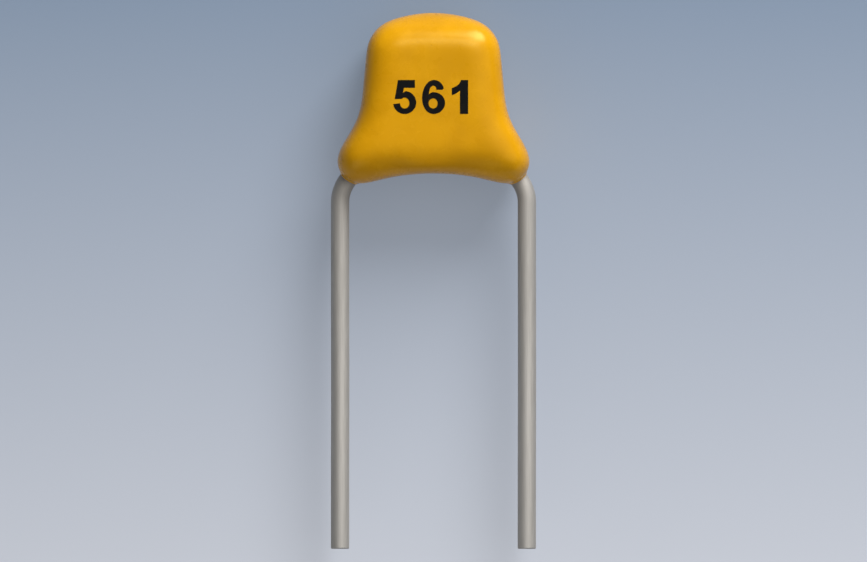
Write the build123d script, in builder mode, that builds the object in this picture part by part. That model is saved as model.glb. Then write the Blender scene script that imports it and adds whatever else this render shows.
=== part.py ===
from build123d import *
from math import acos, atan2, cos, degrees, hypot, radians, sqrt, tan
import os

# A radial multilayer ceramic capacitor, in millimetres.
# X runs across the two leads, Y from the lead tips to the rounded top of the body, Z through its thickness.
# The origin is midway between the leads, on the seating plane where their straight lower stretch begins.

# Leads, bent from round wire
lead_pitch = 5.08
lead_diameter = 0.5
lead_free_length = 9.41
lead_bend_radius = 1.0
lead_slope = 45
lead_overrun = 0.15

# Fired ceramic block with its printed electrodes
ceramic_length = 1.88
ceramic_width = 1.2
ceramic_thickness = 1.0
ceramic_edge_chamfer = 0.06
chip_height = 2.9
electrode_pairs = 10
electrode_thickness = 0.01
dielectric_thickness = 0.03
electrode_end_margin = 0.3
electrode_side_margin = 0.14

# End caps of the chip: a fired base layer under a plated barrier layer
termination_thickness = 0.04
termination_band = 0.36
barrier_thickness = 0.02
barrier_overlap = 0.03

# Solder between each end cap and its lead
solder_gap = 0.02
solder_skin = 0.06
solder_foot_width = 0.84
solder_foot_thickness = 0.04
solder_fillet_radius = 0.12
solder_length = 1.1
solder_wick = 0.2
solder_wick_edge = 0.015

# Dipped coating: its walls over the chip and the leads
face_wall = 0.69
side_wall = 0.415
crown_wall = 1.44
toe_reach = 0.07

# Dipped coating, as it is seen from the front
crown_radius = 3.4
shoulder_radius = 1.0
side_draft = 5.6
waist_radius = 2.33
waist_share_of_skirt = 0.9
skirt_angle = 34
toe_height = 0.514
toe_radius = 0.65
arch_rise = 0.282

# Dipped coating, as it is seen from the side
crown_round_height = 1.014
crown_round_depth = 0.7775
toe_round_height = 1.122
toe_round_depth = 0.565
round_overrun = 6
rim_radius = 0.52
rim_share_of_toe = 0.8

# Each lead's two corners, before they are rounded, and its end beside the chip
cap_thickness = termination_thickness + barrier_thickness
chip_half_length = ceramic_length / 2 + cap_thickness
lead_radius = lead_diameter / 2
chip_lead_offset = chip_half_length + solder_gap + lead_radius
lower_corner_height = lead_bend_radius * tan(radians(lead_slope) / 2)
lead_step = lead_pitch / 2 - chip_lead_offset
upper_corner_height = lower_corner_height + lead_step / tan(radians(lead_slope))
lead_top_height = chip_height + ceramic_width / 2 + cap_thickness + lead_overrun

# The coating's overall sizes, from what it covers
body_half_width = lead_pitch / 2 + toe_reach
body_half_thickness = ceramic_thickness / 2 + cap_thickness + face_wall
neck_half_width = chip_lead_offset + lead_radius + side_wall
crown_height = lead_top_height + crown_wall

# The electrodes, spaced evenly about the middle of the block
electrode_pitch = electrode_thickness + dielectric_thickness
electrode_length = ceramic_length - electrode_end_margin
electrode_width = ceramic_width - 2 * electrode_side_margin
chip_plane = Plane(origin=(0, chip_height, 0))
sides = {"left": -1, "right": 1}

os.makedirs("parts", exist_ok=True)


def write(piece, name):
    """Labels a finished piece and writes it to the STEP file of that name."""
    piece.label = name
    export_step(piece, f"parts/{name}.step")


def chamfered_block(growth):
    """The ceramic block's form, grown by a layer's thickness on every side, its chamfered edges included."""
    with BuildPart(chip_plane) as block:
        Box(
            ceramic_length + 2 * growth,
            ceramic_width + 2 * growth,
            ceramic_thickness + 2 * growth,
        )
        chamfer(block.edges(), ceramic_edge_chamfer + (2 - sqrt(2)) * growth)
    return block.part


def electrode(side, height):
    """One printed plate, which reaches the end of the ceramic on its own side only."""
    with BuildPart(chip_plane.offset(height)) as plate:
        with Locations((side * electrode_end_margin / 2, 0)):
            Box(electrode_length, electrode_width, electrode_thickness)
    return plate.part


def end_cap(side, outer, band, covered):
    """A five-sided cap over one end of the chip, inside an outer form and over the pieces that it covers."""
    edge = Plane(origin=(side * (ceramic_length / 2 - band), 0, 0), z_dir=(side, 0, 0))
    with BuildPart() as cap:
        add(outer)
        split(bisect_by=edge, keep=Keep.TOP)
        add(covered, mode=Mode.SUBTRACT)
    return cap.part


def lead_wire(side):
    """One lead: straight below the body, then bent inwards and straight again beside the chip."""
    corners = [
        (side * lead_pitch / 2, -lead_free_length),
        (side * lead_pitch / 2, lower_corner_height),
        (side * chip_lead_offset, upper_corner_height),
        (side * chip_lead_offset, lead_top_height),
    ]
    with BuildPart() as lead:
        with BuildLine() as route:
            FilletPolyline(*corners, radius=lead_bend_radius)
        with BuildSketch(Plane(origin=route.line @ 0, z_dir=route.line % 0)):
            Circle(lead_radius)
        sweep()
    return lead.part


def solder_joint(side, lead, chip_form):
    """The solder on one end cap: two hollow fillets round the lead, and a skin that thins out along it."""
    half_length = solder_length / 2
    skin_radius = lead_radius + solder_skin
    lead_axis = Axis((side * chip_lead_offset, chip_height, 0), (0, 1, 0))
    skin = [
        (0, -half_length - solder_wick),
        (side * (lead_radius + solder_wick_edge), -half_length - solder_wick),
        (side * skin_radius, -half_length),
        (side * skin_radius, half_length),
        (side * (lead_radius + solder_wick_edge), half_length + solder_wick),
        (0, half_length + solder_wick),
    ]
    with BuildPart() as joint:
        with BuildSketch(Plane(origin=lead_axis.position)):
            Polygon(*skin, align=None)
        revolve(axis=lead_axis)
        with BuildSketch(Plane.XZ.offset(half_length - chip_height)) as profile:
            with Locations((side * chip_lead_offset, 0)):
                Circle(skin_radius)
            with Locations((side * chip_half_length, 0)):
                Rectangle(2 * solder_foot_thickness, solder_foot_width)
            hollows = profile.vertices().sort_by(lambda v: abs(v.Y))[:2]
            fillet(hollows, solder_fillet_radius)
        extrude(amount=-solder_length)
        add([lead, chip_form], mode=Mode.SUBTRACT)
    return joint.part


def front_outline():
    """The bell shape of the coating: a crown, two sides that flare into toes, and an arch between the toes."""
    draft = radians(side_draft)
    skirt = radians(skirt_angle)
    crown_centre = (0, crown_height - crown_radius)
    side_offset = neck_half_width + (chip_height - crown_centre[1]) * tan(draft)
    crown_end = side_draft + degrees(acos(side_offset * cos(draft) / crown_radius))
    toe_centre = (body_half_width - toe_radius, toe_height + toe_radius)
    toe_drop = toe_radius - arch_rise
    arch_radius = (toe_centre[0] ** 2 + toe_drop**2 - toe_radius**2) / (2 * arch_rise)
    arch_centre = (0, toe_height + arch_rise - arch_radius)
    arch_end = degrees(atan2(toe_centre[1] - arch_centre[1], toe_centre[0]))
    with BuildSketch() as outline:
        with BuildLine():
            toe = CenterArc(toe_centre, toe_radius, skirt_angle, arch_end - 180 - skirt_angle)
            crown = CenterArc(crown_centre, crown_radius, crown_end, 180 - 2 * crown_end, mode=Mode.PRIVATE)
            skirt_top = toe @ 0
            skirt_offset = skirt_top.X + skirt_top.Y * tan(skirt)
            neck_offset = neck_half_width + chip_height * tan(draft)
            waist_height = (skirt_offset - neck_offset) / (tan(skirt) - tan(draft))
            waist = Vector(neck_offset - waist_height * tan(draft), waist_height)
            waist_run = waist_share_of_skirt * (waist - skirt_top).length
            waist_limit = waist_run / tan((skirt - draft) / 2)
            FilletPolyline(crown @ 0, waist, skirt_top, radius=min(waist_radius, waist_limit))
            mirror(about=Plane.YZ)
            add(crown)
            CenterArc(arch_centre, arch_radius, arch_end, 180 - 2 * arch_end)
        make_face()
        fillet(outline.vertices().group_by(Axis.Y)[-1], shoulder_radius)
    return outline.sketch


def side_outline():
    """The body's form from the side: flat front and back faces that round off towards the crown and the toes."""
    flat_top = (crown_height - crown_round_height, body_half_thickness)
    flat_bottom = (toe_height + toe_round_height, body_half_thickness)
    crown_round = hypot(crown_round_height, crown_round_depth) ** 2 / (2 * crown_round_depth)
    toe_round = hypot(toe_round_height, toe_round_depth) ** 2 / (2 * toe_round_depth)
    crown_turn = 2 * degrees(atan2(crown_round_depth, crown_round_height)) + round_overrun
    toe_turn = 2 * degrees(atan2(toe_round_depth, toe_round_height)) + round_overrun
    with BuildSketch() as outline:
        with BuildLine():
            Line(flat_bottom, flat_top)
            top = JernArc(flat_top, (1, 0), crown_round, -crown_turn)
            bottom = JernArc(flat_bottom, (-1, 0), toe_round, toe_turn)
            mirror(about=Plane.XZ)
            for end in (top @ 1, bottom @ 1):
                Line(end, (end.X, -end.Y))
        make_face()
    return outline.sketch


# The chip: two sets of electrodes that reach in from opposite ends of the ceramic
ceramic_form = chamfered_block(0)
electrodes = {name: [] for name in sides}
for index in range(2 * electrode_pairs):
    side_name = list(sides)[index % 2]
    height = (index - electrode_pairs + 0.5) * electrode_pitch
    electrodes[side_name].append(electrode(sides[side_name], height))

with BuildPart() as ceramic_block:
    add(ceramic_form)
    for plates in electrodes.values():
        add(plates, mode=Mode.SUBTRACT)

write(ceramic_block.part, "ceramic_block")
for side_name, plates in electrodes.items():
    for number, plate in enumerate(plates, 1):
        write(plate, f"electrode_{side_name}_{number:02d}")

# The end caps, the leads and the solder that joins them
termination_form = chamfered_block(termination_thickness)
chip_form = chamfered_block(cap_thickness)
embedded = [ceramic_form]
for side_name, side in sides.items():
    termination = end_cap(side, termination_form, termination_band, [ceramic_form])
    barrier = end_cap(side, chip_form, termination_band + barrier_overlap, [ceramic_form, termination])
    lead = lead_wire(side)
    solder = solder_joint(side, lead, chip_form)
    write(termination, f"termination_{side_name}")
    write(barrier, f"barrier_{side_name}")
    write(lead, f"lead_{side_name}")
    write(solder, f"solder_{side_name}")
    embedded += [termination, barrier, lead, solder]

# The coating, moulded round everything that it seals in
with BuildPart() as epoxy_coating:
    with BuildSketch(Plane.XY.offset(-2 * body_half_thickness)):
        add(front_outline())
    extrude(amount=4 * body_half_thickness)
    with BuildSketch(Plane.YZ.offset(-2 * body_half_width)):
        add(side_outline())
    extrude(amount=4 * body_half_width, mode=Mode.INTERSECT)
    rim = epoxy_coating.edges().filter_by(Axis.X, reverse=True).filter_by(Axis.Z, reverse=True)
    fillet(rim, min(rim_radius, rim_share_of_toe * toe_radius))
    add(embedded, mode=Mode.SUBTRACT)

write(epoxy_coating.part, "epoxy_coating")
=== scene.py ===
"""The looks of a radial multilayer ceramic capacitor: a bell of epoxy, two tinned leads and a printed value.

Every class is one sub-assembly, one finish or one node tree. Sizes are in millimetres, and become metres
where a mesh, a lamp or a node takes them.
"""

from __future__ import annotations

import logging
import math
from dataclasses import dataclass
from enum import Enum
from typing import ClassVar, Iterable, Sequence, Union

import bmesh
import bpy
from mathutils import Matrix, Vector


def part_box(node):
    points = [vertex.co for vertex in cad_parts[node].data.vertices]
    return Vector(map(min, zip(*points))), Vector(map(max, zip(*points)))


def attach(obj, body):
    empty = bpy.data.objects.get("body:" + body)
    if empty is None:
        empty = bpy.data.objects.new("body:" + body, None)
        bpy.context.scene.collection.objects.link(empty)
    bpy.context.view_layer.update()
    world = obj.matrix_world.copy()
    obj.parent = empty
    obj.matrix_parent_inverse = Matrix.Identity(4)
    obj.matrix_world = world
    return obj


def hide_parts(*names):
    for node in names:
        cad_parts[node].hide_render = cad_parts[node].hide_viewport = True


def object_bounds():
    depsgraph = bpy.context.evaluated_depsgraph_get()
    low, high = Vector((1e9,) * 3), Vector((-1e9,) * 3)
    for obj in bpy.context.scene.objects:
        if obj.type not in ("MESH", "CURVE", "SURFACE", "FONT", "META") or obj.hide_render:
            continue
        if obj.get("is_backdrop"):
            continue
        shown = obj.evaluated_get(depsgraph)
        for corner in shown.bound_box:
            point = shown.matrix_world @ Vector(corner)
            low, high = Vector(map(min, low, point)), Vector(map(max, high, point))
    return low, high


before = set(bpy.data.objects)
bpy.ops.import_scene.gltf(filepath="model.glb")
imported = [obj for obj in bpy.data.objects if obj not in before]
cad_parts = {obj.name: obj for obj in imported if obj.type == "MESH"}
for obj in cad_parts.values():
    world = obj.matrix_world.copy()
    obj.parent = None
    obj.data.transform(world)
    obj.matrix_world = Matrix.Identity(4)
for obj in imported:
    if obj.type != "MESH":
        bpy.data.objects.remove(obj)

LOG = logging.getLogger("capacitor")
MM = 0.001
Edge = tuple[int, int]
Pair = tuple[float, float]
Outline = list[Pair]
Point = tuple[float, float, float]
Colour = tuple[float, float, float]
Socket = bpy.types.NodeSocket
Sockets = bpy.types.bpy_prop_collection
Feed = Union[Socket, str, float, int, Sequence[float]]
Feeds = dict[Union[int, str], Feed]

# The range that nearly all of the soft noise lies in.
NOISE_SPAN: Pair = (0.35, 0.65)
# A wire's attribute: where each point of its surface would be if the wire were straight.
STRAIGHTENED = "straightened"


class Side(Enum):
    """The two sides of the part, as the marked face is seen."""

    LEFT = -1
    RIGHT = 1

    @property
    def word(self) -> str:
        """The side's name, as the frame's node names end."""
        return self.name.lower()


class Slot(Enum):
    """The record's material slots."""

    COATING = "coating"
    CERAMIC = "ceramic"
    ELECTRODE = "electrode"
    TERMINATION = "termination"
    BARRIER = "barrier"
    SOLDER = "solder"
    LEAD = "lead"


def srgb(red: int, green: int, blue: int) -> Colour:
    """Turns a colour as a screen writes it into the linear one that a shader reads.

    Args:
        red: The red share, 0 to 255.
        green: The green share, 0 to 255.
        blue: The blue share, 0 to 255.

    Returns:
        The same colour in linear shares, 0 to 1.
    """

    def linear(share: int) -> float:
        """One share, without the screen's curve."""
        part = share / 255
        return part / 12.92 if part <= 0.04045 else ((part + 0.055) / 1.055) ** 2.4

    return linear(red), linear(green), linear(blue)


# Node trees


class NodeSheet:
    """A node tree with short ways to add nodes, set their sockets and join them."""

    def __init__(self, tree: bpy.types.NodeTree) -> None:
        """Takes over a tree and empties it."""
        self.tree = tree
        tree.nodes.clear()

    def node(self, kind: str, **settings: object) -> bpy.types.Node:
        """Adds a node.

        Args:
            kind: Blender's name of the node type.
            settings: The node's own properties.

        Returns:
            The new node.
        """
        made = self.tree.nodes.new(kind)
        for name, value in settings.items():
            setattr(made, name, value)
        return made

    def feed(self, socket: Socket, value: Feed) -> None:
        """Joins a socket to another one, or sets its own value.

        Args:
            socket: The input to fill.
            value: An output to join it to, or a plain value.
        """
        if isinstance(value, Socket):
            self.tree.links.new(value, socket)
        elif socket.type == "RGBA":
            socket.default_value = (*value, 1.0)
        else:
            socket.default_value = value

    def put(self, kind: str, feeds: Feeds, **settings: object) -> bpy.types.Node:
        """Adds a node and fills some of its inputs.

        Args:
            kind: Blender's name of the node type.
            feeds: What goes into each input, by its number or name.
            settings: The node's own properties.

        Returns:
            The new node.
        """
        made = self.node(kind, **settings)
        for key, value in feeds.items():
            self.feed(made.inputs[key], value)
        return made

    def give(self, kind: str, feeds: Feeds, **settings: object) -> Socket:
        """Adds a node as put does, and gives its first output."""
        return self.put(kind, feeds, **settings).outputs[0]

    def inlets(self, **kinds: object) -> Sockets:
        """Adds a group's inputs and the node that they come in by.

        Args:
            kinds: For each input's name, with _ for a space, its default number or the type of its socket.

        Returns:
            The inputs' sockets, by name.
        """
        for name, value in kinds.items():
            kind = value if isinstance(value, str) else type(value).__name__.capitalize()
            made = self.tree.interface.new_socket(
                name=name.replace("_", " "), in_out="INPUT", socket_type=f"NodeSocket{kind}"
            )
            if not isinstance(value, str):
                made.default_value = value
        return self.node("NodeGroupInput").outputs

    def outlets(self, kind: str, **values: Socket) -> None:
        """Adds a group's outputs and fills them.

        Args:
            kind: The type of their sockets.
            values: What each of them gives, by its name.
        """
        for name in values:
            self.tree.interface.new_socket(name=name, in_out="OUTPUT", socket_type=f"NodeSocket{kind}")
        self.put("NodeGroupOutput", dict(enumerate(values.values())))

    def math(self, operation: str, *values: Feed) -> Socket:
        """One sum on numbers, by Blender's name of it."""
        return self.give("ShaderNodeMath", dict(enumerate(values)), operation=operation)

    def vector(self, operation: str, *values: Feed) -> Socket:
        """One sum on vectors.

        Args:
            operation: Blender's name of the sum.
            values: What goes in, in order; a scale factor comes second.

        Returns:
            The socket with the result.
        """
        keys = (0, 3) if operation == "SCALE" else (0, 1)
        made = self.put("ShaderNodeVectorMath", dict(zip(keys, values)), operation=operation)
        return made.outputs[1 if operation in ("DISTANCE", "DOT_PRODUCT") else 0]

    def split(self, value: Feed) -> Sockets:
        """A vector's three numbers."""
        return self.put("ShaderNodeSeparateXYZ", {0: value}).outputs

    def combine(self, x: Feed = 0.0, y: Feed = 0.0, z: Feed = 0.0) -> Socket:
        """A vector of three numbers."""
        return self.give("ShaderNodeCombineXYZ", {0: x, 1: y, 2: z})

    def ramp(self, value: Feed, source: Sequence[Feed], target: Pair, kind: str = "LINEAR") -> Socket:
        """Maps one range of numbers onto another, and stays inside it."""
        feeds: Feeds = dict(enumerate((value, *source, *target)))
        return self.give("ShaderNodeMapRange", feeds, interpolation_type=kind)

    def blend(self, share: Feed, first: Feed, second: Feed) -> Socket:
        """Mixes two colours, with a share of the second of 0 to 1."""
        return self.put("ShaderNodeMix", {0: share, 6: first, 7: second}, data_type="RGBA").outputs[2]

    def noise(self, where: Feed, width: Feed, detail: Feed, seed: Feed, output: int = 0) -> Socket:
        """Soft noise of a given width.

        Args:
            where: The coordinates, in metres.
            width: The size of its patches, in metres.
            detail: How many finer layers it has.
            seed: Which of its patterns to take.
            output: 0 for one number about 0.5, and 1 for three of them.

        Returns:
            The socket with the noise.
        """
        scale = self.math("DIVIDE", 1.0, width)
        feeds: Feeds = {"Vector": where, "W": seed, "Scale": scale, "Detail": detail}
        return self.put("ShaderNodeTexNoise", feeds, noise_dimensions="4D").outputs[output]


class ShapeSheet(NodeSheet):
    """A geometry-node tree, with short ways to move points, cast rays and keep values."""

    def __init__(self, tree: bpy.types.NodeTree) -> None:
        """Takes over a tree, empties it and adds the points' positions."""
        super().__init__(tree)
        self.here = self.node("GeometryNodeInputPosition").outputs[0]

    def move(self, shape: Socket, **feeds: Feed) -> Socket:
        """Moves a shape's points, as the inputs of the Set Position node say."""
        return self.give("GeometryNodeSetPosition", {0: shape, **feeds})

    def cast(self, surface: Socket, start: Feed, way: Feed) -> Sockets:
        """Casts rays onto a surface, and gives the sockets with what they meet."""
        feeds: Feeds = {0: surface, "Source Position": start, "Ray Direction": way, "Ray Length": 1.0}
        return self.put("GeometryNodeRaycast", feeds).outputs

    def of_object(self, item: Socket) -> Socket:
        """The shape of an object that comes in as an input."""
        return self.put("GeometryNodeObjectInfo", {0: item}).outputs["Geometry"]

    def on_vectors(self, kind: str, value: Feed, feeds: Feeds) -> Socket:
        """Adds a node that can work on several types of value, and sets it to vectors.

        Args:
            kind: Blender's name of the node type.
            value: The vector that it works on.
            feeds: What goes into its other inputs.

        Returns:
            Its first output that is in use.
        """
        made = self.put(kind, feeds, data_type="FLOAT_VECTOR")
        self.feed(next(socket for socket in made.inputs if socket.name == "Value" and socket.enabled), value)
        return next(socket for socket in made.outputs if socket.enabled)

    def keep(self, shape: Socket, kind: str, value: Socket) -> tuple[Socket, Socket]:
        """Keeps a value on a shape's points, so that it can be read after the shape has changed.

        Args:
            shape: The socket with the shape.
            kind: Blender's name of the value's type.
            value: The value.

        Returns:
            The sockets with the shape and the kept value.
        """
        kept = self.node("GeometryNodeCaptureAttribute")
        kept.capture_items.new(kind, "Kept")
        self.feed(kept.inputs[0], shape)
        self.feed(kept.inputs[1], value)
        return kept.outputs[0], kept.outputs[1]

    def close(self, shape: Socket, finish: Socket) -> None:
        """Ends the tree: real geometry, with its finish on it."""
        real = self.give("GeometryNodeRealizeInstances", {0: shape})
        self.outlets("Geometry", Shape=self.give("GeometryNodeSetMaterial", {0: real, "Material": finish}))


class FinishSheet(NodeSheet):
    """A material's nodes, with its one shader and the object's own coordinates."""

    def __init__(self, tree: bpy.types.NodeTree) -> None:
        """Takes over a material's tree, empties it and adds what every finish has.

        Args:
            tree: The tree to write in.
        """
        super().__init__(tree)
        self.shader = self.node("ShaderNodeBsdfPrincipled")
        self.where = self.node("ShaderNodeTexCoord").outputs["Object"]
        self.put("ShaderNodeOutputMaterial", {0: self.shader.outputs[0]})

    def dress(self, **feeds: Feed) -> None:
        """Fills the shader's inputs, by their names with _ for a space."""
        for name, value in feeds.items():
            self.feed(self.shader.inputs[name.replace("_", " ")], value)

    def mottle(self, share: Feed, span: Pair, first: Feed, second: Feed) -> Socket:
        """Mixes two colours softly, from the first where a range begins to the second where it ends."""
        return self.blend(self.ramp(share, span, (0.0, 1.0), "SMOOTHSTEP"), first, second)

    def bump(self, height: Feed, depth: float) -> Socket:
        """Raises the surface by a pattern of 0 to 1, whose tops stand depth millimetres high."""
        return self.give("ShaderNodeBump", {"Strength": 1.0, "Distance": depth * MM, "Height": height})


# Pieces


def settle(piece: bpy.types.Object) -> None:
    """Turns a piece with live modifiers into a plain mesh.

    Args:
        piece: The piece.
    """
    depsgraph = bpy.context.evaluated_depsgraph_get()
    plain = bpy.data.meshes.new_from_object(
        piece.evaluated_get(depsgraph), preserve_all_data_layers=True, depsgraph=depsgraph
    )
    rough, piece.data = piece.data, plain
    piece.modifiers.clear()
    bpy.data.meshes.remove(rough)
    plain.name = piece.name


def new_piece(name: str, mesh: bpy.types.Mesh) -> bpy.types.Object:
    """Puts a mesh in the scene.

    Args:
        name: The piece's name.
        mesh: Its mesh, in metres and in place.

    Returns:
        The new object, at the origin.
    """
    piece = bpy.data.objects.new(name, mesh)
    bpy.context.scene.collection.objects.link(piece)
    return piece


def drawn_piece(name: str, points: Iterable[Point], edges: Sequence[Edge]) -> bpy.types.Object:
    """Puts points, given in millimetres, and the lines between them in the scene.

    Args:
        name: The piece's name.
        points: The points.
        edges: The numbers of the two points of each line.

    Returns:
        The new object, at the origin.
    """
    mesh = bpy.data.meshes.new(name)
    mesh.from_pydata([Vector(point) * MM for point in points], edges, [])
    return new_piece(name, mesh)


# Finishes


class GrainGroup:
    """The shader group that every finish shares: two layers of soft noise, which may be drawn out along Y."""

    patch_detail: ClassVar[float] = 1.5
    patch_seed: ClassVar[float] = 7.3
    _tree: ClassVar[bpy.types.NodeTree | None] = None

    @classmethod
    def tree(cls) -> bpy.types.NodeTree:
        """Gives the group, and writes it the first time.

        Returns:
            The group, with its named inputs and outputs.
        """
        if cls._tree is None:
            cls._tree = bpy.data.node_groups.new("surface grain", "ShaderNodeTree")
            sheet = NodeSheet(cls._tree)
            inlets = sheet.inlets(
                Place="Vector", Grain_width=0.1 * MM, Patch_width=1.0 * MM, Detail=3.0, Stretch=1.0, Seed=0.0
            )
            squeeze = sheet.combine(1.0, sheet.math("DIVIDE", 1.0, inlets["Stretch"]), 1.0)
            place = sheet.vector("MULTIPLY", inlets["Place"], squeeze)
            grain = sheet.noise(place, inlets["Grain width"], inlets["Detail"], inlets["Seed"])
            other = sheet.math("ADD", inlets["Seed"], cls.patch_seed)
            patches = sheet.noise(place, inlets["Patch width"], cls.patch_detail, other)
            both = sheet.math("MULTIPLY", sheet.math("ADD", grain, patches), 0.5)
            sheet.outlets("Float", Grain=grain, Patches=patches, Both=both)
        return cls._tree


@dataclass(frozen=True)
class Grain:
    """The widths, detail, stretch and seed of one finish's grain."""

    grain_width: float
    patch_width: float
    detail: float = 3.0
    stretch: float = 1.0
    seed: float = 0.0

    def place(self, sheet: NodeSheet, where: Feed) -> Sockets:
        """Places the grain group in a material.

        Args:
            sheet: The material's nodes.
            where: The coordinates that it reads.

        Returns:
            The group's outputs.
        """
        widths: Feeds = {"Grain width": self.grain_width * MM, "Patch width": self.patch_width * MM}
        others: Feeds = {"Place": where, "Detail": self.detail, "Stretch": self.stretch, "Seed": self.seed}
        return sheet.put("ShaderNodeGroup", widths | others, node_tree=GrainGroup.tree()).outputs


class Finish:
    """What every finish shares: one material, made once and given out again."""

    name: str
    _made: ClassVar[dict[str, bpy.types.Material]] = {}

    def write(self, sheet: FinishSheet) -> None:
        """Sets the shader and joins the finish's pattern to it."""
        raise NotImplementedError

    def material(self) -> bpy.types.Material:
        """Gives the finish's material, and makes it the first time.

        Returns:
            The material.
        """
        if self.name not in self._made:
            made = bpy.data.materials.new(self.name)
            made.use_nodes = True
            self.write(FinishSheet(made.node_tree))
            self._made[self.name] = made
        return self._made[self.name]


@dataclass(frozen=True)
class EpoxyFinish(Finish):
    """Dipped and cured epoxy: glossy deep yellow with faint clouds, fine orange peel and a few pinholes in
    painted shade.
    """

    name: str = "dipped epoxy"
    pale: Colour = srgb(214, 152, 8)
    deep: Colour = srgb(204, 143, 4)
    refraction: float = 1.5
    gloss: float = 0.4
    sheen: Colour = (1.0, 0.86, 0.3)
    roughness: Pair = (0.24, 0.32)
    peel: Grain = Grain(0.2, 0.9, detail=0.6, seed=3.1)
    peel_depth: float = 0.0009
    # The darker colour that the pinholes are mixed towards: painted shade in their hollows.
    pinhole: Colour = srgb(150, 98, 4)
    pinhole_tint: float = 0.3
    pinhole_spacing: float = 0.55
    pinhole_radius: float = 0.03
    pinhole_rarity: float = 0.86
    pinhole_depth: float = 1.5

    def write(self, sheet: FinishSheet) -> None:
        """Joins clouds, orange peel and pinholes with painted shade in them to the shader; see Finish.write.
        """
        grain = self.peel.place(sheet, sheet.where)
        clouds = sheet.mottle(grain["Patches"], NOISE_SPAN, self.pale, self.deep)
        feeds: Feeds = {"Vector": sheet.where, "Scale": 1.0 / (self.pinhole_spacing * MM), "Randomness": 1.0}
        cells = sheet.put("ShaderNodeTexVoronoi", feeds).outputs
        reach = self.pinhole_radius / self.pinhole_spacing
        dot = sheet.ramp(cells["Distance"], (reach * 0.5, reach), (1.0, 0.0), "SMOOTHSTEP")
        chosen = sheet.give("ShaderNodeSeparateColor", {0: cells["Color"]})
        holes = sheet.math("MULTIPLY", dot, sheet.math("GREATER_THAN", chosen, self.pinhole_rarity))
        sunk = sheet.math("MULTIPLY", holes, self.pinhole_depth)
        sheet.dress(
            # Where the pinholes sink, the colour is darkened with painted shade.
            Base_Color=sheet.blend(sheet.math("MULTIPLY", holes, self.pinhole_tint), clouds, self.pinhole),
            Roughness=sheet.ramp(grain["Both"], NOISE_SPAN, self.roughness),
            IOR=self.refraction,
            Specular_IOR_Level=self.gloss,
            Specular_Tint=self.sheen,
            Normal=sheet.bump(sheet.math("SUBTRACT", grain["Grain"], sunk), self.peel_depth),
        )


@dataclass(frozen=True)
class GrainedFinish(Finish):
    """A metal, a fired layer or ink: one colour that shifts to another over its grain, and a faint tooth.

    The grain lies in the attribute's coordinates where one is named, and else in the object's own.
    """

    name: str
    first: Colour
    second: Colour
    roughness: Pair
    grain: Grain
    depth: float
    span: Pair = (0.36, 0.64)
    metallic: float = 1.0
    gloss: float = 0.5
    attribute: str = ""

    def write(self, sheet: FinishSheet) -> None:
        """Joins the grain to the shader; see Finish.write."""
        where = sheet.where
        if self.attribute:
            named = sheet.node("ShaderNodeAttribute", attribute_name=self.attribute)
            where = named.outputs["Vector"]
        grain = self.grain.place(sheet, where)
        sheet.dress(
            Base_Color=sheet.mottle(grain["Both"], self.span, self.first, self.second),
            Roughness=sheet.ramp(grain["Patches"], NOISE_SPAN, self.roughness),
            Metallic=self.metallic,
            Specular_IOR_Level=self.gloss,
            Normal=sheet.bump(grain["Grain"], self.depth),
        )


# Pad-printed ink: nearly black, and thin in places.
INK = GrainedFinish(
    "printing ink",
    first=srgb(4, 4, 4),
    second=srgb(22, 18, 12),
    span=(0.5, 0.68),
    roughness=(0.56, 0.68),
    grain=Grain(0.03, 0.22, seed=11.0),
    depth=0.0015,
    metallic=0.0,
    gloss=0.1,
)
# Hot-tinned round wire: satin, with soft drawing lines along it and clouds where the tin ran.
TINNED_WIRE = GrainedFinish(
    "tinned wire",
    first=srgb(185, 181, 175),
    second=srgb(175, 171, 165),
    span=(0.4, 0.62),
    roughness=(0.66, 0.76),
    grain=Grain(0.035, 0.5, stretch=22.0, seed=5.0),
    depth=0.0005,
    attribute=STRAIGHTENED,
)


# Shapes


class ShapeTree:
    """A geometry-node tree that is set on an object, worked out and turned into that object's plain mesh."""

    name: ClassVar[str]
    _made: ClassVar[dict[str, bpy.types.NodeTree]] = {}

    def write(self, sheet: ShapeSheet) -> None:
        """Writes the tree's inputs, nodes and output."""
        raise NotImplementedError

    def tree(self) -> bpy.types.NodeTree:
        """Gives the tree, and writes it the first time.

        Returns:
            The finished tree.
        """
        if self.name not in self._made:
            made = bpy.data.node_groups.new(self.name, "GeometryNodeTree")
            self.write(ShapeSheet(made))
            self._made[self.name] = made
        return self._made[self.name]

    def apply(self, piece: bpy.types.Object, owner: object, **values: object) -> None:
        """Works the tree out on a piece and leaves it a plain mesh.

        Args:
            piece: The piece that holds the tree's starting mesh.
            owner: The sub-assembly, whose fields fill the inputs of their names.
            values: What fills the other inputs, by name. Any single float is in millimetres.
        """
        modifier = piece.modifiers.new(self.name, "NODES")
        modifier.node_group = self.tree()
        values = {**vars(owner), **values}
        for item in modifier.node_group.interface.items_tree:
            value = values.get(item.name.lower().replace(" ", "_"))
            if item.in_out == "INPUT" and value is not None:
                modifier[item.identifier] = value * MM if isinstance(value, float) else value
        settle(piece)


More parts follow.
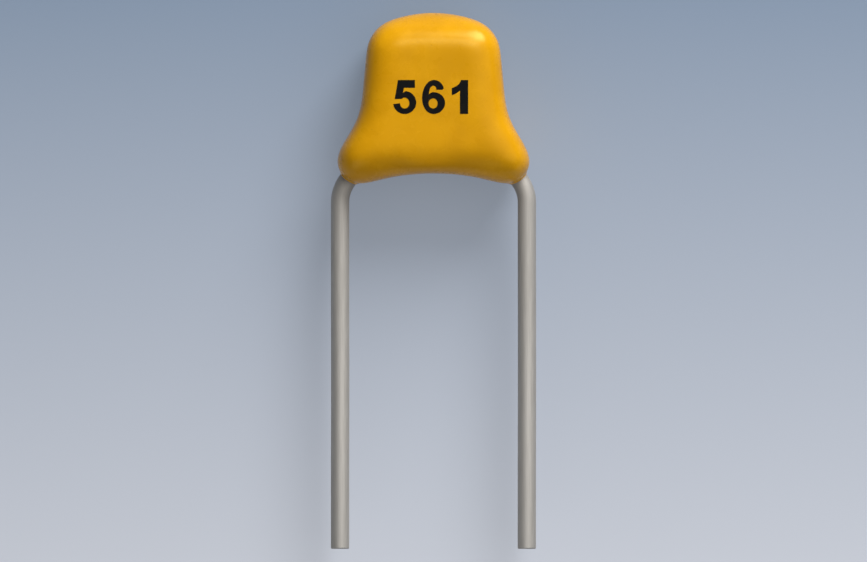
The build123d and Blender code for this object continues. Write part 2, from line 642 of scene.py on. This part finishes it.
class SkinTree(ShapeTree):
    """Dips a body: draws an even skin onto it, eases its edges, and lets it creep up what sticks out."""

    name = "dipped skin"
    weld: ClassVar[float] = 0.001
    # How far from level a wall's normal may point, and the heights between which back turns into front.
    upright: ClassVar[float] = 0.02
    back_to_front: ClassVar[Pair] = (-0.4 * MM, 0.4 * MM)

    def write(self, sheet: ShapeSheet) -> None:
        """Writes the tree; see ShapeTree.write."""
        inlets = sheet.inlets(
            Body="Geometry",
            Wires="Object",
            Middle="Vector",
            Block="Vector",
            Spacing=0.05 * MM,
            Easing=20,
            Solid_rim=0.5 * MM,
            Skin_rim=0.6 * MM,
            Creep_height=0.1 * MM,
            Creep_reach=0.15 * MM,
            Ripple_height=0.005 * MM,
            Ripple_width=1.0 * MM,
            Seed=1,
            Finish="Material",
        )
        normal = sheet.node("GeometryNodeInputNormal").outputs[0]
        skin = self.draped(sheet, inlets)
        skin = sheet.move(skin, Offset=self.wider_rim(sheet, inlets, normal))
        rounds: Feeds = {"Iterations": inlets["Easing"]}
        once = sheet.on_vectors("GeometryNodeBlurAttribute", sheet.here, rounds)
        twice = sheet.on_vectors("GeometryNodeBlurAttribute", once, rounds)
        # Twice the soft place less the softer one: this eases the edges and keeps the body's size.
        eased = sheet.vector("SUBTRACT", sheet.vector("SCALE", once, 2.0), twice)
        skin = sheet.move(skin, Position=eased)
        creep = self.creep(sheet, inlets, normal)
        skin = sheet.move(skin, Offset=sheet.vector("SCALE", normal, creep))
        wave = sheet.noise(sheet.here, inlets["Ripple width"], 1.0, inlets["Seed"])
        lift = sheet.math("MULTIPLY", sheet.math("SUBTRACT", wave, 0.5), inlets["Ripple height"])
        skin = sheet.move(skin, Offset=sheet.vector("SCALE", normal, lift))
        smooth = sheet.give("GeometryNodeSetShadeSmooth", {0: skin, "Shade Smooth": True})
        sheet.close(smooth, inlets["Finish"])

    @classmethod
    def draped(cls, sheet: ShapeSheet, inlets: Sockets) -> Socket:
        """Shrinks a block of even quads onto the body.

        Args:
            sheet: The tree.
            inlets: The tree's named inputs.

        Returns:
            The socket with the skin.
        """
        feeds: Feeds = {"Size": inlets["Block"]}
        for axis, side in zip("XYZ", sheet.split(inlets["Block"])):
            feeds[f"Vertices {axis}"] = sheet.math("DIVIDE", side, inlets["Spacing"])
        block = sheet.give("GeometryNodeMeshCube", feeds)
        block = sheet.give("GeometryNodeTransform", {0: block, "Translation": inlets["Middle"]})
        block = sheet.give("GeometryNodeMergeByDistance", {0: block, "Distance": cls.weld * MM})
        inwards = sheet.vector("NORMALIZE", sheet.vector("SUBTRACT", inlets["Middle"], sheet.here))
        met = sheet.cast(inlets["Body"], sheet.here, inwards)
        return sheet.move(block, Selection=met["Is Hit"], Position=met["Hit Position"])

    @classmethod
    def wider_rim(cls, sheet: ShapeSheet, inlets: Sockets, normal: Socket) -> Socket:
        """Works out how far each point sinks towards the middle plane where the rim's rounding widens.

        Args:
            sheet: The tree.
            inlets: The tree's named inputs.
            normal: The normals of faces and points.

        Returns:
            The socket with the offset.
        """
        tilt = sheet.math("ABSOLUTE", sheet.split(normal)[2])
        picked: Feeds = {0: inlets["Body"], "Selection": sheet.math("LESS_THAN", tilt, cls.upright)}
        walls = sheet.give("GeometryNodeSeparateGeometry", picked, domain="FACE")
        flat = sheet.vector("MULTIPLY", sheet.here, (1.0, 1.0, 0.0))
        outline: Feeds = {0: sheet.move(walls, Position=flat), "Sample Position": flat}
        inside = sheet.put("GeometryNodeProximity", outline, target_element="EDGES").outputs["Distance"]
        wide, narrow = (cls.round_off(sheet, inside, inlets[name]) for name in ("Skin rim", "Solid rim"))
        front = sheet.ramp(sheet.split(sheet.here)[2], cls.back_to_front, (-1.0, 1.0))
        return sheet.combine(z=sheet.math("MULTIPLY", sheet.math("SUBTRACT", narrow, wide), front))

    @staticmethod
    def round_off(sheet: ShapeSheet, inside: Socket, radius: Socket) -> Socket:
        """Works out how far a rounded rim lies below the face that it ends in.

        Args:
            sheet: The tree.
            inside: The distance from the outline.
            radius: The rim's radius.

        Returns:
            The socket with the depth.
        """
        within = sheet.math("MINIMUM", inside, radius)
        across = sheet.math("SUBTRACT", sheet.math("MULTIPLY", radius, 2.0), within)
        return sheet.math("SUBTRACT", radius, sheet.math("SQRT", sheet.math("MULTIPLY", within, across)))

    @staticmethod
    def creep(sheet: ShapeSheet, inlets: Sockets, normal: Socket) -> Socket:
        """Works out how far the skin rises at each point: not at all away from the wires, and most in them.

        Args:
            sheet: The tree.
            inlets: The tree's named inputs.
            normal: The normals of faces and points.

        Returns:
            The socket with the height.
        """
        wires = sheet.of_object(inlets["Wires"])
        nearest = sheet.put("GeometryNodeProximity", {0: wires}, target_element="FACES").outputs["Position"]
        away = sheet.on_vectors("GeometryNodeSampleNearestSurface", normal, {0: wires})
        gap = sheet.vector("DOT_PRODUCT", sheet.vector("SUBTRACT", sheet.here, nearest), away)
        reach = inlets["Creep reach"]
        # 1 on the wire's surface, 0 at the reach outside it, and 2 at the reach inside it.
        share = sheet.ramp(gap, (sheet.math("MULTIPLY", reach, -1.0), reach), (2.0, 0.0))
        return sheet.math("MULTIPLY", sheet.math("POWER", share, 2.0), inlets["Creep height"])


class WireTree(ShapeTree):
    """Draws round wire along a route: rounds its corners, lets it waver, and gives it its section."""

    name = "drawn wire"
    bend_steps: ClassVar[int] = 32
    crisp_angle: ClassVar[float] = 40.0

    def write(self, sheet: ShapeSheet) -> None:
        """Writes the tree; see ShapeTree.write."""
        inlets = sheet.inlets(
            Route="Geometry",
            Bend_radius=1.0 * MM,
            Wire_radius=0.25 * MM,
            Step=0.1 * MM,
            Facets=48,
            Waver=0.01 * MM,
            Waver_length=4.0 * MM,
            Seed=1,
            Finish="Material",
        )
        line = sheet.give("GeometryNodeMeshToCurve", {0: inlets["Route"]})
        rounding: Feeds = {0: line, "Count": self.bend_steps, "Radius": inlets["Bend radius"]}
        line = sheet.give("GeometryNodeFilletCurve", rounding, mode="POLY")
        line = sheet.give("GeometryNodeResampleCurve", {0: line, "Length": inlets["Step"]}, mode="LENGTH")
        wave = sheet.noise(sheet.here, inlets["Waver length"], 0.0, inlets["Seed"], output=1)
        off = sheet.vector("SCALE", sheet.vector("SUBTRACT", wave, (0.5, 0.5, 0.5)), inlets["Waver"])
        line = sheet.move(line, Offset=off)

        run = sheet.node("GeometryNodeSplineParameter").outputs["Length"]
        line, along = sheet.keep(line, "FLOAT", run)
        round_section: Feeds = {"Resolution": inlets["Facets"], "Radius": inlets["Wire radius"]}
        ring = sheet.give("GeometryNodeCurvePrimitiveCircle", round_section)
        ring, around = sheet.keep(ring, "VECTOR", sheet.here)
        tube = sheet.give("GeometryNodeCurveToMesh", {0: line, 1: ring, "Fill Caps": True})
        section = sheet.split(around)
        straight = sheet.combine(section[0], along, section[1])
        named: Feeds = {0: tube, "Name": STRAIGHTENED}
        wire = sheet.on_vectors("GeometryNodeStoreNamedAttribute", straight, named)

        angle = sheet.node("GeometryNodeInputMeshEdgeAngle").outputs[0]
        crisp = sheet.math("GREATER_THAN", angle, math.radians(self.crisp_angle))
        wire = sheet.give("GeometryNodeSetShadeSmooth", {0: wire, "Shade Smooth": True})
        edges: Feeds = {0: wire, "Selection": crisp, "Shade Smooth": False}
        wire = sheet.give("GeometryNodeSetShadeSmooth", edges, domain="EDGE")
        sheet.close(wire, inlets["Finish"])


class PrintTree(ShapeTree):
    """Prints closed outlines onto a surface below them, as ink with a body of its own."""

    name = "pad print"
    clearance: ClassVar[float] = 5.0
    weld: ClassVar[float] = 0.0005

    def write(self, sheet: ShapeSheet) -> None:
        """Writes the tree; see ShapeTree.write."""
        inlets = sheet.inlets(
            Outlines="Geometry",
            Surface="Object",
            Ink_height=0.006 * MM,
            Ink_root=0.006 * MM,
            Fineness=3,
            Finish="Material",
        )
        lines = sheet.give("GeometryNodeMeshToCurve", {0: inlets["Outlines"]})
        flat = sheet.give("GeometryNodeFillCurve", {0: lines}, mode="TRIANGLES")
        flat = sheet.give("GeometryNodeSubdivideMesh", {0: flat, "Level": inlets["Fineness"]})
        above = sheet.vector("ADD", sheet.here, (0.0, 0.0, self.clearance * MM))
        met = sheet.cast(sheet.of_object(inlets["Surface"]), above, (0.0, 0.0, -1.0))
        root = sheet.combine(z=sheet.math("MULTIPLY", inlets["Ink root"], -1.0))
        base = sheet.move(flat, Position=met["Hit Position"], Offset=root)
        rise = sheet.combine(z=sheet.math("ADD", inlets["Ink height"], inlets["Ink root"]))
        raised: Feeds = {0: base, "Offset": rise, "Offset Scale": 1.0, "Individual": False}
        both = sheet.put("GeometryNodeJoinGeometry", {0: sheet.give("GeometryNodeExtrudeMesh", raised)})
        sheet.feed(both.inputs[0], sheet.give("GeometryNodeFlipFaces", {0: base}))
        solid = sheet.give("GeometryNodeMergeByDistance", {0: both.outputs[0], "Distance": self.weld * MM})
        sheet.close(solid, inlets["Finish"])


class Pen:
    """Draws one closed outline as a row of points, none of them on top of the one before it."""

    least_step: ClassVar[float] = 0.006

    def __init__(self, start: Pair) -> None:
        """Starts an outline at its first point."""
        self.points: Outline = [start]

    def line(self, *ends: Pair) -> Pen:
        """Draws straight lines, one to each point.

        Args:
            ends: The points; one as good as there already, or as good as back at the start, is left out.

        Returns:
            The pen.
        """
        for end in ends:
            if min(math.dist(end, self.points[-1]), math.dist(end, self.points[0])) > self.least_step:
                self.points.append(end)
        return self

    def arc(self, centre: Pair, radii: Pair, start: float, end: float, steps: int = 20) -> Pen:
        """Draws part of an ellipse.

        Args:
            centre: Its centre.
            radii: Its half width and half height.
            start: The angle that it starts at, in degrees.
            end: The angle that it ends at.
            steps: How many lines it is made of.

        Returns:
            The pen.
        """
        for step in range(steps + 1):
            turn = math.radians(start + (end - start) * step / steps)
            self.line((centre[0] + radii[0] * math.cos(turn), centre[1] + radii[1] * math.sin(turn)))
        return self

    def bend(self, pull: Pair, end: Pair, steps: int = 10) -> Pen:
        """Draws a curve that leans towards a point.

        Args:
            pull: The point that it leans towards.
            end: Where it ends.
            steps: How many lines it is made of.

        Returns:
            The pen.
        """
        corners = (self.points[-1], pull, end)
        for step in range(1, steps + 1):
            t = step / steps
            weights = ((1 - t) ** 2, 2 * t * (1 - t), t**2)
            x, y = (sum(w * corner[axis] for w, corner in zip(weights, corners)) for axis in (0, 1))
            self.line((x, y))
        return self


class Figure(Enum):
    """The plain figures of a value code, one unit high, drawn from their lower left corner."""

    FIVE = "5"
    SIX = "6"
    ONE = "1"

    def outlines(self) -> list[Outline]:
        """The figure's closed outlines, the outer one first."""
        return {Figure.FIVE: self._five, Figure.SIX: self._six, Figure.ONE: self._one}[self]()

    @staticmethod
    def _five() -> list[Outline]:
        """A flag on a slanted stem over an open bowl."""
        pen = Pen((0.143, 1.0)).line((0.643, 1.0), (0.643, 0.771), (0.318, 0.771), (0.289, 0.622))
        pen.bend((0.335, 0.674), (0.395, 0.674), 6)
        pen.arc((0.339, 0.337), (0.341, 0.337), 80, -172, 40)
        pen.line((0.2, 0.316))
        pen.arc((0.339, 0.321), (0.139, 0.161), -178, 130, 32)
        pen.line((0.045, 0.44))
        return [pen.points]

    @staticmethod
    def _six() -> list[Outline]:
        """A closed bowl under a tail that curls over it."""
        pen = Pen((0.64, 0.752)).line((0.596, 0.714), (0.421, 0.714))
        pen.bend((0.41, 0.832), (0.335, 0.834), 8).bend((0.215, 0.828), (0.2, 0.582), 10)
        pen.bend((0.262, 0.642), (0.336, 0.642), 6)
        pen.arc((0.336, 0.33), (0.343, 0.312), 90, 0, 18).arc((0.336, 0.33), (0.343, 0.33), 0, -90, 18)
        pen.arc((0.336, 0.46), (0.336, 0.46), -90, -180, 18).arc((0.345, 0.46), (0.345, 0.54), 180, 90, 18)
        pen.arc((0.345, 0.71), (0.297, 0.29), 90, 8, 16)
        hole = Pen((0.457, 0.309)).arc((0.325, 0.309), (0.132, 0.15), 9, 351, 38)
        return [pen.points, hole.points]

    @staticmethod
    def _one() -> list[Outline]:
        """A stem with a curved flag."""
        pen = Pen((0.48, 1.0)).line((0.48, 0.0), (0.239, 0.0), (0.239, 0.696))
        pen.bend((0.14, 0.592), (0.0, 0.556)).line((0.0, 0.763))
        pen.bend((0.22, 0.83), (0.272, 1.0))
        return [pen.points]


# Sub-assemblies


@dataclass
class DrawnLead:
    """One lead: wire that runs straight to the body, bends inwards in it and is straight beside the chip."""

    side: Side
    pitch: float = 5.08
    wire_diameter: float = 0.5
    bend_radius: float = 1.0
    slope: float = 45.0
    step: float = 0.1
    facets: int = 48
    waver: float = 0.02
    waver_length: float = 4.0
    first_seed: int = 4
    cut_bevel: float = 0.03
    cut_angle: float = 60.0

    @property
    def node(self) -> str:
        """The frame's node that the lead stands for."""
        return f"lead_{self.side.word}"

    def corners(self) -> list[Point]:
        """The route's corners before they are rounded.

        Returns:
            The corners from the cut end to the top, in millimetres.
        """
        low, high = (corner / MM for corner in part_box(self.node))
        outer = self.side.value * self.pitch / 2
        inner = (high.x if self.side is Side.LEFT else low.x) + self.side.value * self.wire_diameter / 2
        lower = self.bend_radius * math.tan(math.radians(self.slope) / 2)
        upper = lower + abs(outer - inner) / math.tan(math.radians(self.slope))
        return [(outer, low.y, 0.0), (outer, lower, 0.0), (inner, upper, 0.0), (inner, high.y, 0.0)]

    def build(self) -> bpy.types.Object:
        """Makes the lead.

        Returns:
            The finished piece.
        """
        piece = drawn_piece(f"wire_{self.side.word}", self.corners(), [(0, 1), (1, 2), (2, 3)])
        radius, seed = self.wire_diameter / 2, self.first_seed + self.side.value
        WireTree().apply(piece, self, wire_radius=radius, seed=seed, finish=TINNED_WIRE.material())
        bevel = piece.modifiers.new("cut end", "BEVEL")
        bevel.width = self.cut_bevel * MM
        bevel.segments = 2
        bevel.limit_method = "ANGLE"
        bevel.angle_limit = math.radians(self.cut_angle)
        settle(piece)
        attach(piece, "root")
        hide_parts(self.node)
        LOG.info("%s: %d faces", piece.name, len(piece.data.polygons))
        return piece


@dataclass
class DippedCoating:
    """The epoxy coating: one skin over the chip and the tops of the leads, creeping a little down each."""

    node: str = "epoxy_coating"
    weld: float = 0.0001
    crease: float = 40.0
    margin: float = 1.04
    spacing: float = 0.04
    easing: int = 98
    solid_rim: float = 0.52
    skin_rim: float = 0.65
    creep_height: float = 0.03
    creep_reach: float = 0.1
    ripple_height: float = 0.016
    ripple_width: float = 1.3
    seed: int = 2

    def outer_shell(self) -> bpy.types.Object:
        """Takes the outside of the CAD body alone, closed where the leads come out.

        Returns:
            A scratch object that holds it.
        """
        source = bmesh.new()
        source.from_mesh(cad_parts[self.node].data)
        bmesh.ops.remove_doubles(source, verts=source.verts, dist=self.weld * MM)
        source.normal_update()
        start = max(source.faces, key=lambda face: face.calc_center_median().z + face.normal.z)
        outside, to_visit = {start}, [start]
        while to_visit:
            for edge in to_visit.pop().edges:
                if edge.is_manifold and edge.calc_face_angle() < math.radians(self.crease):
                    found = set(edge.link_faces) - outside
                    outside |= found
                    to_visit += found
        bmesh.ops.delete(source, geom=[face for face in source.faces if face not in outside], context="FACES")
        bmesh.ops.holes_fill(source, edges=[edge for edge in source.edges if edge.is_boundary], sides=0)
        bmesh.ops.triangulate(source, faces=[face for face in source.faces if len(face.verts) > 3])
        return self.as_piece("shell", source)

    def build(self, leads: Sequence[bpy.types.Object]) -> bpy.types.Object:
        """Makes the coating.

        Args:
            leads: The two leads that stick out of it.

        Returns:
            The finished piece.
        """
        piece = self.outer_shell()
        low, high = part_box(self.node)
        together = bmesh.new()
        for lead in leads:
            together.from_mesh(lead.data)
        wires = self.as_piece("wires", together)
        SkinTree().apply(
            piece,
            self,
            wires=wires,
            middle=tuple((low + high) / 2),
            block=tuple((high - low) * self.margin),
            finish=EpoxyFinish().material(),
        )
        bpy.data.meshes.remove(wires.data)
        piece.name = piece.data.name = "coating"
        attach(piece, "root")
        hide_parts(self.node)
        LOG.info("%s: %d faces", piece.name, len(piece.data.polygons))
        return piece

    @staticmethod
    def as_piece(name: str, source: bmesh.types.BMesh) -> bpy.types.Object:
        """Turns a mesh that was worked on into a scratch object.

        Args:
            name: The object's name.
            source: The mesh, which is freed.

        Returns:
            The new object.
        """
        mesh = bpy.data.meshes.new(name)
        source.to_mesh(mesh)
        source.free()
        return new_piece(name, mesh)


@dataclass
class PrintedCode:
    """The value code on the front face: two figures and the number of noughts, in picofarads."""

    figures: tuple[Figure, ...] = (Figure.FIVE, Figure.SIX, Figure.ONE)
    lefts: tuple[float, ...] = (-1.096, -0.31, 0.499)
    baseline: float = 2.407
    height: float = 0.922
    ink_height: float = 0.005
    ink_root: float = 0.008
    fineness: int = 2

    def build(self, surface: bpy.types.Object) -> bpy.types.Object:
        """Makes the print.

        Args:
            surface: The coating that it is printed on.

        Returns:
            The finished piece.
        """
        points: list[Point] = []
        edges: list[Edge] = []
        for figure, left in zip(self.figures, self.lefts):
            for outline in figure.outlines():
                first, count = len(points), len(outline)
                edges += [(first + i, first + (i + 1) % count) for i in range(count)]
                points += [(left + x * self.height, self.baseline + y * self.height, 0.0) for x, y in outline]
        piece = drawn_piece("value_code", points, edges)
        PrintTree().apply(piece, self, surface=surface, finish=INK.material())
        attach(piece, "root")
        LOG.info("%s: %d faces", piece.name, len(piece.data.polygons))
        return piece


class ChipInside:
    """What the coating seals in: the ceramic block, its electrodes, end caps, barrier layers and solder."""

    # Each slot's name, two colours, roughness, grain, depth of the grain and share of metal.
    finishes: ClassVar[dict[Slot, GrainedFinish]] = {
        slot: GrainedFinish(name, srgb(*first), srgb(*second), roughness, grain, depth, metallic=metallic)
        for slot, name, first, second, roughness, grain, depth, metallic in (
            (
                Slot.CERAMIC, "fired dielectric", (206, 190, 160), (178, 158, 126),
                (0.62, 0.8), Grain(0.012, 0.3), 0.001, 0.0,
            ),
            (
                Slot.ELECTRODE, "printed electrode", (176, 172, 162), (142, 138, 130),
                (0.4, 0.6), Grain(0.01, 0.2, seed=2.0), 0.0004, 1.0,
            ),
            (
                Slot.TERMINATION, "fired end cap", (200, 138, 104), (166, 106, 78),
                (0.45, 0.65), Grain(0.02, 0.25, seed=4.0), 0.001, 1.0,
            ),
            (
                Slot.BARRIER, "plated barrier", (196, 190, 176), (170, 164, 150),
                (0.34, 0.5), Grain(0.015, 0.3, seed=6.0), 0.0006, 1.0,
            ),
            (
                Slot.SOLDER, "reflowed solder", (212, 212, 214), (182, 183, 187),
                (0.22, 0.4), Grain(0.03, 0.2, seed=8.0), 0.0012, 1.0,
            ),
        )
    }

    def build(self) -> None:
        """Gives each sealed node of the frame its finish."""
        for name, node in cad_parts.items():
            for slot, finish in self.finishes.items():
                if name.startswith(slot.value):
                    for holder in node.material_slots:
                        holder.material = finish.material()
                    LOG.info("%s: %s", name, finish.name)


@dataclass
class Lamp:
    """One round soft lamp, turned towards the part."""

    name: str
    place: Point
    width: float
    watts: float
    gloss_alone: bool = False

    def build(self, target: Point) -> None:
        """Hangs the lamp.

        Args:
            target: The point that it is turned to, in millimetres.
        """
        data = bpy.data.lights.new(self.name, "AREA")
        data.shape = "DISK"
        data.size = self.width * MM
        data.energy = self.watts
        lamp = bpy.data.objects.new(self.name, data)
        lamp.visible_diffuse = not self.gloss_alone
        lamp.location = Vector(self.place) * MM
        lamp.rotation_euler = (Vector(target) - Vector(self.place)).to_track_quat("-Z", "Y").to_euler()
        bpy.context.scene.collection.objects.link(lamp)


@dataclass
class Studio:
    """A floor that is bluish near the part and pale farther out, soft lamps, an even world and a camera."""

    camera_middle: Pair = (0.0, -2.133)
    camera_distance: float = 60.0
    camera_clip: Pair = (1.0, 2000.0)
    picture_width: float = 23.56
    floor_side: float = 1600.0
    floor_far: Colour = srgb(134, 149, 169)
    floor_near: Colour = srgb(200, 204, 213)
    floor_span: Pair = (5.5, -9.8)
    floor_roughness: float = 0.9
    floor_gloss: float = 0.1
    floor_glow: float = 0.5
    pool_edge: Pair = (17.0, 29.0)
    world_colour: Colour = (0.9, 0.94, 1.0)
    world_strength: float = 0.2
    lamp_target: Point = (0.0, 2.0, 0.0)
    lamps: tuple[Lamp, ...] = (
        Lamp("key", (42.0, 92.0, 56.0), 70.0, 0.18),
        Lamp("side", (60.0, -8.0, 94.0), 130.0, 0.034),
        Lamp("fill", (-45.0, -90.0, 60.0), 80.0, 0.0125),
        Lamp("sheen", (17.0, 56.0, 96.0), 50.0, 0.042, gloss_alone=True),
    )

    def floor(self) -> None:
        """Lays the floor under the part."""
        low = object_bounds()[0].z
        half = self.floor_side / 2 * MM
        mesh = bpy.data.meshes.new("floor")
        signs = ((-1, -1), (1, -1), (1, 1), (-1, 1))
        mesh.from_pydata([(x * half, y * half, low) for x, y in signs], [], [(0, 1, 2, 3)])
        piece = new_piece("floor", mesh)
        made = bpy.data.materials.new("pale floor")
        made.use_nodes = True
        self.write_floor(NodeSheet(made.node_tree), low)
        mesh.materials.append(made)
        piece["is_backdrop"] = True

    def write_floor(self, sheet: NodeSheet, low: float) -> None:
        """Writes the floor's material: half of its own light near the part, so that it keeps the shadow.

        Args:
            sheet: The empty tree.
            low: The floor's height, in metres.
        """
        where = sheet.node("ShaderNodeTexCoord").outputs["Object"]
        middle = (*(length * MM for length in self.camera_middle), low)
        away = sheet.vector("DISTANCE", where, middle)
        outside = sheet.ramp(away, [edge * MM for edge in self.pool_edge], (0.0, 1.0), "SMOOTHSTEP")
        nearer = sheet.ramp(sheet.split(where)[1], [end * MM for end in self.floor_span], (0.0, 1.0))
        colour = sheet.blend(sheet.math("MAXIMUM", nearer, outside), self.floor_far, self.floor_near)
        matt: Feeds = {
            "Base Color": colour,
            "Roughness": self.floor_roughness,
            "Specular IOR Level": self.floor_gloss,
        }
        path = sheet.node("ShaderNodeLightPath").outputs
        seen = sheet.math("MAXIMUM", path["Is Camera Ray"], path["Is Glossy Ray"])
        seen = sheet.math("MAXIMUM", seen, path["Is Transmission Ray"])
        part = sheet.math("MULTIPLY", seen, sheet.ramp(outside, (0.0, 1.0), (self.floor_glow, 1.0)))
        glow = sheet.give("ShaderNodeEmission", {"Color": colour, "Strength": 1.0})
        shader = sheet.give("ShaderNodeBsdfPrincipled", matt)
        lit = sheet.give("ShaderNodeMixShader", {0: part, 1: shader, 2: glow})
        sheet.put("ShaderNodeOutputMaterial", {0: lit})

    def world(self) -> None:
        """Sets the even light from all round."""
        scene = bpy.context.scene
        scene.world = scene.world or bpy.data.worlds.new("studio")
        scene.world.use_nodes = True
        sheet = NodeSheet(scene.world.node_tree)
        seen = sheet.node("ShaderNodeLightPath").outputs["Is Camera Ray"]
        looks = ((self.world_colour, self.world_strength), (self.floor_near, 1.0))
        light, shown = (sheet.give("ShaderNodeBackground", dict(enumerate(look))) for look in looks)
        both = sheet.give("ShaderNodeMixShader", {0: seen, 1: light, 2: shown})
        sheet.put("ShaderNodeOutputWorld", {0: both})

    def camera(self) -> None:
        """Sets the camera straight above, with the crown at the top of the picture."""
        data = bpy.data.cameras.new("camera")
        data.type = "ORTHO"
        data.ortho_scale = self.picture_width * MM
        data.clip_start, data.clip_end = (end * MM for end in self.camera_clip)
        camera = bpy.data.objects.new("camera", data)
        camera.location = Vector((*self.camera_middle, self.camera_distance)) * MM
        bpy.context.scene.collection.objects.link(camera)
        bpy.context.scene.camera = camera

    def build(self) -> None:
        """Sets up the whole studio."""
        self.floor()
        self.world()
        for lamp in self.lamps:
            lamp.build(self.lamp_target)
        self.camera()
        bpy.context.scene.view_settings.view_transform = "Standard"
        LOG.info("studio: %d lamps", len(self.lamps))


def main() -> None:
    """Builds every sub-assembly in order."""
    logging.basicConfig(level=logging.INFO, format="%(name)s: %(message)s")
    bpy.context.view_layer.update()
    Studio().build()
    leads = [DrawnLead(side).build() for side in Side]
    coating = DippedCoating().build(leads)
    PrintedCode().build(coating)
    ChipInside().build()


if __name__ == "__main__":
    main()
